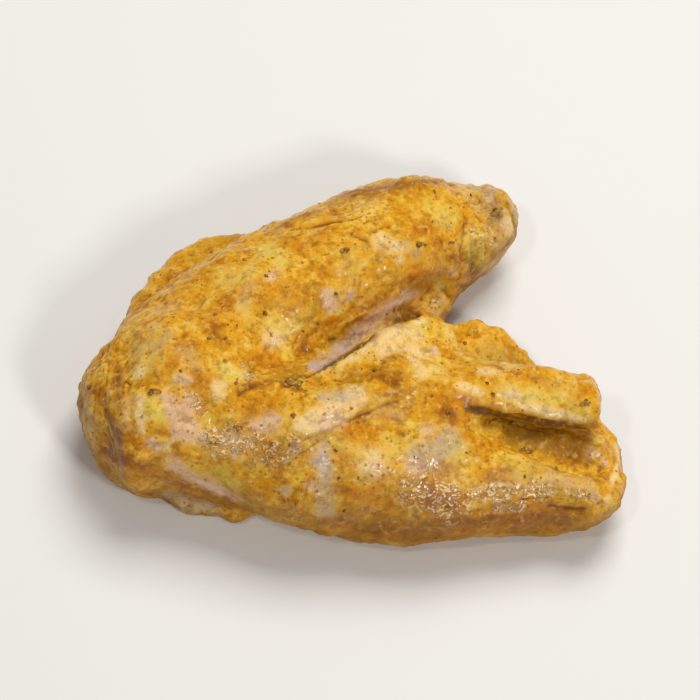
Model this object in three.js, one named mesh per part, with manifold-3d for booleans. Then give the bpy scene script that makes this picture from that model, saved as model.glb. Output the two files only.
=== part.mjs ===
// A raw marinated chicken wing without its tip: the flat and the drumette, folded at the elbow, on a table.
// Millimetres, +X from the elbow to the shoulder end, +Y to the flat's side, +Z up, the table at z = 0.
import * as THREE from "three";
import { mergeVertices } from "three/addons/utils/BufferGeometryUtils.js";
import Module from "manifold-3d";

// Driving dimensions
const flatLength = 63; // elbow centre to wrist
const drumetteLength = 70; // elbow centre to shoulder end
const flatAngle = 31.4; // degrees from +X
const drumetteAngle = -10;
const limbHeight = 12.5; // height of the meat's middle above the table
const elbow = new THREE.Vector3(-33, -9, limbHeight);
const cellSize = 1.9; // spacing of the surface's net
const settling = 0.9; // how far the meat's weight spreads it on the table
const tableEdge = 1.4; // rounding where the meat meets the table
const relaxPasses = 3; // rounds of evening out the net
const longestMove = 0.3; // of a cell, when a point goes back to the surface
const flatBelow = 0.1; // points under this height lie on the table
const seed = 7;

const wasm = await Module();
wasm.setup();

// A point at a share of a limb's length, some millimetres to its side and at a height above the table.
function alongLimb(length, angleInDegrees) {
  const angle = THREE.MathUtils.degToRad(angleInDegrees);
  const forward = new THREE.Vector3(Math.cos(angle), Math.sin(angle), 0);
  const sideways = new THREE.Vector3(-Math.sin(angle), Math.cos(angle), 0);
  return (share, side, height) =>
    elbow.clone().addScaledVector(forward, share * length).addScaledVector(sideways, side).setZ(height);
}
const onFlat = alongLimb(flatLength, flatAngle);
const onDrumette = alongLimb(drumetteLength, drumetteAngle);

// Value between the stations of a list, by share of its length, with no corner at a station.
function between(stations, share) {
  const place = THREE.MathUtils.clamp(share, 0, 1) * (stations.length - 1);
  const i = Math.min(Math.floor(place), stations.length - 2);
  return THREE.MathUtils.lerp(stations[i], stations[i + 1], THREE.MathUtils.smoothstep(place - i, 0, 1));
}

// Distance to a body of oval section along a curved spine. Its half widths and half heights are given at
// stations, roll turns the section about the spine, and cap is how far each end reaches past the spine.
function body({ spine, halfWidth, halfHeight, roll = 0, cap }) {
  const steps = 20;
  const curve = new THREE.CatmullRomCurve3(spine);
  const points = curve.getSpacedPoints(steps);
  const turn = THREE.MathUtils.degToRad(roll);
  const segments = points.slice(1).map((end, i) => {
    const start = points[i];
    const forward = end.clone().sub(start);
    const length = forward.length();
    forward.normalize();
    const level = new THREE.Vector3(0, 0, 1).cross(forward).normalize();
    const side = level.clone().applyAxisAngle(forward, turn);
    const up = forward.clone().cross(side);
    return { start, forward, side, up, length };
  });
  const offset = new THREE.Vector3();
  return (p) => {
    let nearest = Infinity;
    let best = 0;
    let bestAlong = 0;
    segments.forEach((segment, i) => {
      offset.subVectors(p, segment.start);
      const along = THREE.MathUtils.clamp(offset.dot(segment.forward), 0, segment.length);
      const gap = offset.addScaledVector(segment.forward, -along).lengthSq();
      if (gap < nearest) {
        nearest = gap;
        best = i;
        bestAlong = along;
      }
    });
    const { start, forward, side, up, length } = segments[best];
    const share = (best + bestAlong / length) / steps;
    const width = between(halfWidth, share);
    const height = between(halfHeight, share);
    offset.subVectors(p, start).addScaledVector(forward, -bestAlong);
    const local = [offset.dot(side), offset.dot(up), offset.dot(forward)];
    const radii = [width, height, cap ?? Math.min(width, height)];
    const inner = Math.hypot(...local.map((x, i) => x / radii[i]));
    const slope = Math.hypot(...local.map((x, i) => x / radii[i] ** 2));
    return slope > 0 ? (inner * (inner - 1)) / slope : -Math.min(...radii);
  };
}

// Joins and cuts with a rounded seam, where blend is the seam's width.
function join(a, b, blend) {
  const h = Math.max(blend - Math.abs(a - b), 0) / blend;
  return Math.min(a, b) - (h * h * blend) / 4;
}
const cut = (a, b, blend) => -join(-a, b, blend);

const flat = body({
  spine: [
    onFlat(0.04, 2, 11), onFlat(0.28, 3.8, 12), onFlat(0.6, 4, 12),
    onFlat(0.86, 3.8, 11.2), onFlat(1.05, -1.2, 9.5),
  ],
  halfWidth: [12, 13.8, 12.8, 11, 8.2],
  halfHeight: [10.5, 12.2, 12.2, 11.2, 7.4],
  cap: 5.5,
});
// The thin edge of skin on the outer side of the flat.
const flatEdge = body({
  spine: [onFlat(0, 10.5, 8), onFlat(0.16, 16.4, 8.5), onFlat(0.34, 19.2, 8.5), onFlat(0.54, 15, 9)],
  halfWidth: [3, 4.6, 5, 2.5],
  halfHeight: [3, 2.8, 2.2, 2],
});
const drumette = body({
  spine: [
    onDrumette(0.03, -3.2, 11.5), onDrumette(0.28, -5.2, 12.5),
    onDrumette(0.55, -2.8, 12), onDrumette(0.8, -1.5, 9.5),
    onDrumette(1.1, 0.4, 9.8),
  ],
  halfWidth: [11.8, 13.2, 12.8, 10.5, 7.6],
  halfHeight: [11.5, 12, 11.5, 8.5, 6.4],
  cap: 2.6,
});
const elbowLobe = body({
  spine: [new THREE.Vector3(-36.8, -13.2, 11), new THREE.Vector3(-28, -9.5, 11.5)],
  halfWidth: [12, 12.4],
  halfHeight: [10.4, 11],
});
// The meat at the front of the drumette, below the cut skin.
const underLobe = body({
  spine: [
    onDrumette(0.16, -3.5, 11), onDrumette(0.4, -10, 10.5),
    onDrumette(0.62, -9.6, 9), onDrumette(0.86, -5.8, 8.6),
    onDrumette(1.05, -3.6, 9),
  ],
  halfWidth: [5, 9, 9.4, 8.4, 7.8],
  halfHeight: [7, 10.5, 9.5, 8, 7.4],
  cap: 2.4,
});
// The back wall of the drumette, which carries the loose skin at the shoulder.
const backWall = body({
  spine: [onDrumette(0.5, 6.5, 10), onDrumette(0.75, 8.5, 10.5), onDrumette(1, 8, 9.5)],
  halfWidth: [6, 5.5, 4.5],
  halfHeight: [10, 10, 9],
  cap: 3,
});
// The web of skin that fills the fold between the two limbs.
const web = body({
  spine: [onFlat(0.2, -9, 9), onFlat(0.42, -11, 8.5), onFlat(0.66, -12.5, 7)],
  halfWidth: [7, 6.5, 4.5],
  halfHeight: [8.5, 7.5, 6],
});
// The fold of that web that lies up over the drumette, wider towards the shoulder.
const webFold = body({
  spine: [
    onDrumette(0.3, 2.2, 20), onDrumette(0.44, 6, 20.8),
    onDrumette(0.56, 10, 20), onDrumette(0.66, 12.5, 16.8),
  ],
  halfWidth: [1.6, 3.4, 5.6, 7.4],
  halfHeight: [1.6, 2.2, 2.4, 2.6],
  roll: 6,
});
// The loose skin at the shoulder: a thick roll that overhangs the hollow, and a thin apron behind it.
const shoulderRoll = body({
  spine: [onDrumette(0.56, 4.5, 19.5), onDrumette(0.8, 5.6, 19.2), onDrumette(1.01, 7, 18)],
  halfWidth: [3, 4.2, 5],
  halfHeight: [3.2, 3.6, 3.6],
  cap: 2.4,
});
const shoulderApron = body({
  spine: [onDrumette(0.58, 12, 13), onDrumette(0.72, 16, 8.5), onDrumette(0.86, 15.5, 6)],
  halfWidth: [7, 9, 6],
  halfHeight: [3, 2.8, 2.4],
  roll: 24,
});
const shoulderHollow = body({
  spine: [onDrumette(0.72, 2, 18), onDrumette(0.88, 1, 15.8), onDrumette(1.24, 0, 15)],
  halfWidth: [2.4, 6, 9],
  halfHeight: [2.2, 3.4, 4.6],
  roll: -14,
});
// The ridge of skin that runs on from the roll down the front of the drumette, and the dip behind it.
const skinRidge = body({
  spine: [
    onDrumette(0.28, -12, 20.4), onDrumette(0.41, -5.2, 23),
    onDrumette(0.52, 0.6, 23.2), onDrumette(0.64, 4, 21.5),
  ],
  halfWidth: [1.8, 2.2, 2.4, 3],
  halfHeight: [2, 2.4, 2.4, 2.2],
  roll: 10,
});
const skinDip = body({
  spine: [onDrumette(0.38, 0.5, 25.4), onDrumette(0.46, 2.8, 25), onDrumette(0.55, 5.4, 25)],
  halfWidth: [1.8, 2.6, 2.8],
  halfHeight: [2, 3.4, 3.6],
});
// The sinew and skin scraps at the wrist, where the tip was cut off.
const wristScrap = body({
  spine: [onFlat(0.96, -4, 7), onFlat(0.86, -6.5, 6), onFlat(0.76, -8.5, 5.5)],
  halfWidth: [4.2, 3.6, 3.4],
  halfHeight: [5, 4.5, 4],
});
const wristHollow = body({
  spine: [onFlat(1.22, -3, 11), onFlat(1.22, 3, 12)],
  halfWidth: [3, 3],
  halfHeight: [2.5, 2.5],
});
// The crease between the two limbs, deeper towards the open end.
const crease = body({
  spine: [onFlat(0.2, -9.2, 25), onFlat(0.36, -9.8, 23), onFlat(0.6, -9.8, 20), onFlat(0.84, -10, 17)],
  halfWidth: [1, 1.6, 2.2, 2.4],
  halfHeight: [2.6, 4.5, 6.5, 7],
});
// Skin pressed out thin under the elbow.
const elbowSkin = body({
  spine: [new THREE.Vector3(-36, -18, 2.2), new THREE.Vector3(-28, -23, 2), new THREE.Vector3(-18, -26, 2)],
  halfWidth: [3.6, 4, 3.4],
  halfHeight: [2, 2, 1.8],
});

// The soft unevenness of meat under loose skin.
function unevenness(p) {
  const broad = Math.sin(p.x * 0.21 + 1.3) * Math.sin(p.y * 0.27 + 0.4) * Math.sin(p.z * 0.3 + 0.8);
  const fine = Math.sin(p.x * 0.55 + p.y * 0.3) * Math.sin(p.y * 0.62 - p.z * 0.45 + 2);
  return 0.8 * broad + 0.3 * fine;
}

// Distance from a point to the whole wing's surface, negative inside. The table cuts it flat.
function wingField(place) {
  const p = place.clone().setZ(place.z + settling);
  const fromElbow = Math.hypot(p.x - elbow.x, p.y - elbow.y);
  const limbSeam = THREE.MathUtils.lerp(9, 2.5, THREE.MathUtils.smoothstep(fromElbow, 8, 36));
  const front = join(join(drumette(p), underLobe(p), 5), backWall(p), 4);
  let d = join(flat(p), front, limbSeam);
  d = join(d, elbowLobe(p), 9);
  d = join(d, flatEdge(p), 4);
  d = join(d, web(p), 4);
  d = cut(d, crease(p), 3);
  d = cut(d, skinDip(p), 4);
  d = join(d, join(webFold(p), shoulderApron(p), 5), 2);
  d = join(d, skinRidge(p), 3.5);
  d = cut(d, shoulderHollow(p), 4);
  d = join(d, shoulderRoll(p), 3);
  d = join(d, wristScrap(p), 3);
  d = cut(d, wristHollow(p), 3);
  d = join(d, elbowSkin(p), 2);
  return cut(d + unevenness(p), place.z, tableEdge);
}

// Where two parts of the surface would meet at one point of the net, the narrow gap between them is filled.
function closeTouching(values, axes, [nx, ny, nz], at) {
  const justInside = 0.05;
  let filled = true;
  while (filled) {
    filled = false;
    for (let k = 0; k < nz - 1; k++)
      for (let j = 0; j < ny - 1; j++)
        for (let i = 0; i < nx - 1; i++)
          axes.forEach((axis, n) => {
            const u = axes[(n + 1) % 3];
            const v = axes[(n + 2) % 3];
            const square = [[0, 0], [1, 0], [1, 1], [0, 1]].map(([s, t]) =>
              at(i + s * u[0] + t * v[0], j + s * u[1] + t * v[1], k + s * u[2] + t * v[2]),
            );
            const [a, b, c, d] = square.map((corner) => values[corner] < 0);
            if (a !== c || b !== d || a === b) return;
            const outside = square.filter((corner) => values[corner] >= 0);
            outside.forEach((corner) => (values[corner] = -justInside));
            filled = true;
          });
  }
}

// The net's points evened out between their neighbours, and each put back on the surface.
function relaxed(start, quads, field, cell) {
  const evening = 0.6;
  const probe = 0.2;
  let points = start;
  for (let pass = 0; pass < relaxPasses; pass++) {
    const sums = points.map(() => new THREE.Vector3());
    const counts = points.map(() => 0);
    for (const quad of quads)
      quad.forEach((n, i) => {
        sums[n].add(points[quad[(i + 1) % 4]]);
        counts[n]++;
      });
    points = points.map((p, n) => {
      const moved = p.clone().lerp(sums[n].divideScalar(counts[n]), evening);
      const here = field(moved);
      const slope = new THREE.Vector3(
        field(moved.clone().setX(moved.x + probe)) - here,
        field(moved.clone().setY(moved.y + probe)) - here,
        field(moved.clone().setZ(moved.z + probe)) - here,
      ).divideScalar(probe);
      const steepness = Math.max(slope.length(), 0.5);
      const step = THREE.MathUtils.clamp(here / steepness, -longestMove * cell, longestMove * cell);
      return moved.addScaledVector(slope, -step / steepness);
    });
  }
  return points;
}

// A closed net over the surface where the field is zero: one point in each cell that the surface passes
// through, and one quad round each edge of the cells that it crosses.
function netOver(field, box, cell) {
  const size = box.getSize(new THREE.Vector3());
  const [nx, ny, nz] = size.toArray().map((length) => Math.ceil(length / cell) + 1);
  const at = (i, j, k) => i + nx * (j + ny * k);
  const corner = (i, j, k) => new THREE.Vector3(i, j, k).multiplyScalar(cell).add(box.min);
  const values = new Float32Array(nx * ny * nz);
  for (let k = 0; k < nz; k++)
    for (let j = 0; j < ny; j++)
      for (let i = 0; i < nx; i++) values[at(i, j, k)] = field(corner(i, j, k));
  const cornersOfCell = [0, 1, 2, 3, 4, 5, 6, 7].map((n) => [n & 1, (n >> 1) & 1, n >> 2]);
  const stepsBetween = (a, b) => a.reduce((sum, x, q) => sum + Math.abs(x - b[q]), 0);
  const edgesOfCell = cornersOfCell.flatMap((a, m) =>
    cornersOfCell.slice(m + 1).filter((b) => stepsBetween(a, b) === 1).map((b) => [a, b]),
  );
  const axes = [[1, 0, 0], [0, 1, 0], [0, 0, 1]];
  closeTouching(values, axes, [nx, ny, nz], at);
  const positions = [];
  const pointOfCell = new Map();
  for (let k = 0; k < nz - 1; k++)
    for (let j = 0; j < ny - 1; j++)
      for (let i = 0; i < nx - 1; i++) {
        const sum = new THREE.Vector3();
        let crossings = 0;
        for (const [a, b] of edgesOfCell) {
          const va = values[at(i + a[0], j + a[1], k + a[2])];
          const vb = values[at(i + b[0], j + b[1], k + b[2])];
          if (va < 0 === vb < 0) continue;
          const start = corner(i + a[0], j + a[1], k + a[2]);
          sum.add(start.lerp(corner(i + b[0], j + b[1], k + b[2]), va / (va - vb)));
          crossings++;
        }
        if (!crossings) continue;
        pointOfCell.set(at(i, j, k), positions.length);
        positions.push(sum.divideScalar(crossings));
      }
  const quads = [];
  for (let k = 1; k < nz - 1; k++)
    for (let j = 1; j < ny - 1; j++)
      for (let i = 1; i < nx - 1; i++)
        axes.forEach((axis, n) => {
          const inside = values[at(i, j, k)] < 0;
          if (inside === values[at(i + axis[0], j + axis[1], k + axis[2])] < 0) return;
          const u = axes[(n + 1) % 3];
          const v = axes[(n + 2) % 3];
          const ring = [[0, 0], [1, 0], [1, 1], [0, 1]].map(([s, t]) =>
            pointOfCell.get(at(i - s * u[0] - t * v[0], j - s * u[1] - t * v[1], k - s * u[2] - t * v[2])),
          );
          quads.push(inside ? ring : ring.reverse());
        });
  const points = relaxed(positions, quads, field, cell);
  points.filter((p) => p.z < flatBelow).forEach((p) => p.setZ(0));
  const gapOf = (a, b) => points[a].distanceTo(points[b]);
  const index = quads.flatMap(([a, b, c, d]) =>
    gapOf(a, c) < gapOf(b, d) ? [a, b, c, a, c, d] : [a, b, d, b, c, d],
  );
  const geometry = new THREE.BufferGeometry();
  geometry.setAttribute("position", new THREE.Float32BufferAttribute(points.flatMap((p) => p.toArray()), 3));
  geometry.setIndex(index);
  return geometry;
}

// A closed geometry as a solid for cutting and joining, and back.
function solidOf(geometry) {
  const bare = new THREE.BufferGeometry();
  bare.setAttribute("position", geometry.getAttribute("position"));
  if (geometry.index) bare.setIndex(geometry.index);
  const merged = mergeVertices(bare, 1e-4);
  return new wasm.Manifold(
    new wasm.Mesh({
      numProp: 3,
      vertProperties: new Float32Array(merged.attributes.position.array),
      triVerts: new Uint32Array(merged.index.array),
    }),
  );
}
function geometryOf(solid) {
  const { vertProperties, triVerts } = solid.getMesh();
  const geometry = new THREE.BufferGeometry();
  geometry.setAttribute("position", new THREE.BufferAttribute(vertProperties, 3));
  geometry.setIndex(new THREE.BufferAttribute(triVerts, 1));
  geometry.computeVertexNormals();
  return geometry;
}

const reach = new THREE.Box3(new THREE.Vector3(-54, -42, -3), new THREE.Vector3(52, 40, 32));
let wing = solidOf(netOver(wingField, reach, cellSize));

// Crumbs of dried herb stuck to the skin, at places seen from above, with their lengths.
const herbs = [
  { x: -11.7, y: -14.2, length: 4.4 },
  { x: 25.4, y: 24.1, length: 2.8 },
  { x: 11.5, y: 15.2, length: 2.2 },
  { x: -2.2, y: 11.7, length: 2.4 },
  { x: -34.9, y: -15.5, length: 2.2 },
  { x: -21.3, y: -21.8, length: 2.2 },
  { x: 27.7, y: -22, length: 2.4 },
  { x: 37.4, y: -16.3, length: 2.2 },
];
function topOf(x, y) {
  const p = new THREE.Vector3(x, y, reach.max.z);
  const nearEnough = 0.05;
  while (wingField(p) > nearEnough && p.z > 0) p.z -= Math.max(wingField(p) * 0.5, nearEnough);
  return p;
}
let draw = seed;
function random() {
  draw = (draw * 16807) % 2147483647;
  return draw / 2147483647;
}
for (const { x, y, length } of herbs) {
  const crumb = new THREE.IcosahedronGeometry(1, 0);
  crumb.scale(length / 2, length / 3.2, length / 4.5);
  crumb.rotateZ(random() * Math.PI);
  const top = topOf(x, y);
  crumb.translate(top.x, top.y, top.z);
  wing = wing.add(solidOf(crumb));
}

const skin = new THREE.MeshStandardMaterial({ color: 0xdfa13a, roughness: 0.35, metalness: 0 });
const wingGeometry = geometryOf(wing);
wingGeometry.computeBoundingBox();
const middle = wingGeometry.boundingBox.getCenter(new THREE.Vector3());
wingGeometry.translate(-middle.x, -middle.y, 0);
const wingMesh = new THREE.Mesh(wingGeometry, skin);
wingMesh.name = "wing";

const chickenWing = new THREE.Group();
chickenWing.add(wingMesh);
export default chickenWing;
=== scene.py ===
import math
import random

import bmesh
import bpy
import numpy as np
from mathutils import Matrix, Vector, noise
from mathutils.bvhtree import BVHTree


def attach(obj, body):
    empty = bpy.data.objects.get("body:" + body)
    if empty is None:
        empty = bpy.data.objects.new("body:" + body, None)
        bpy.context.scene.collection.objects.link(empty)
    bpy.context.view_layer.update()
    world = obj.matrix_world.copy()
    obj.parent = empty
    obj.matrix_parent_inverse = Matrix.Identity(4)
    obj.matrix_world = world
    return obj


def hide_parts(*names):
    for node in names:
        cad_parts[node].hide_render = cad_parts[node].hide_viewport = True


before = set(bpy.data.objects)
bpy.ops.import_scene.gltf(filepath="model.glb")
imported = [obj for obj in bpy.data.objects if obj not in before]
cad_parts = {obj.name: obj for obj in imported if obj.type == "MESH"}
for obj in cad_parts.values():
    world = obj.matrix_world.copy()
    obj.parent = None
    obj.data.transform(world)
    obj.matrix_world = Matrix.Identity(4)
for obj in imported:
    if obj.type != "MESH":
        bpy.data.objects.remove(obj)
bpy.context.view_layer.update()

mm = 0.001
noise.seed_set(5)       # or else the clock would set the waves of noise_vector, and each run would differ

# The camera stands where the photographer stood, about 60 degrees above the table, and turns to the wing.
view = {
    "stand": (-59.75, -332.5, 603.9),        # mm
    "aim": (0.0, 0.0, 12.0),                 # mm, the middle of the wing
    "firstForward": (0.0, 0.518, -0.855),    # before it turns, its own level gives the tilt of the picture
    "firstUp": (0.0, 0.855, 0.518),
    "lens": 205.0,                           # mm on a 36 mm sensor
}


def setCamera():
    camera = bpy.data.objects.new("camera", bpy.data.cameras.new("camera"))
    bpy.context.scene.collection.objects.link(camera)
    camera.data.lens = view["lens"]
    camera.data.clip_start = 0.01
    stand = Vector(view["stand"]) * mm
    first = Vector(view["firstForward"]).normalized()
    aim = (Vector(view["aim"]) * mm - stand).normalized()
    turn = first.rotation_difference(aim).to_matrix()
    up = turn @ Vector(view["firstUp"])
    side = aim.cross(up).normalized()
    up = side.cross(aim)
    turned = Matrix((side, up, -aim)).transposed().to_4x4()
    camera.matrix_world = Matrix.Translation(stand) @ turned
    bpy.context.scene.camera = camera


setCamera()
print("camera set")

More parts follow.
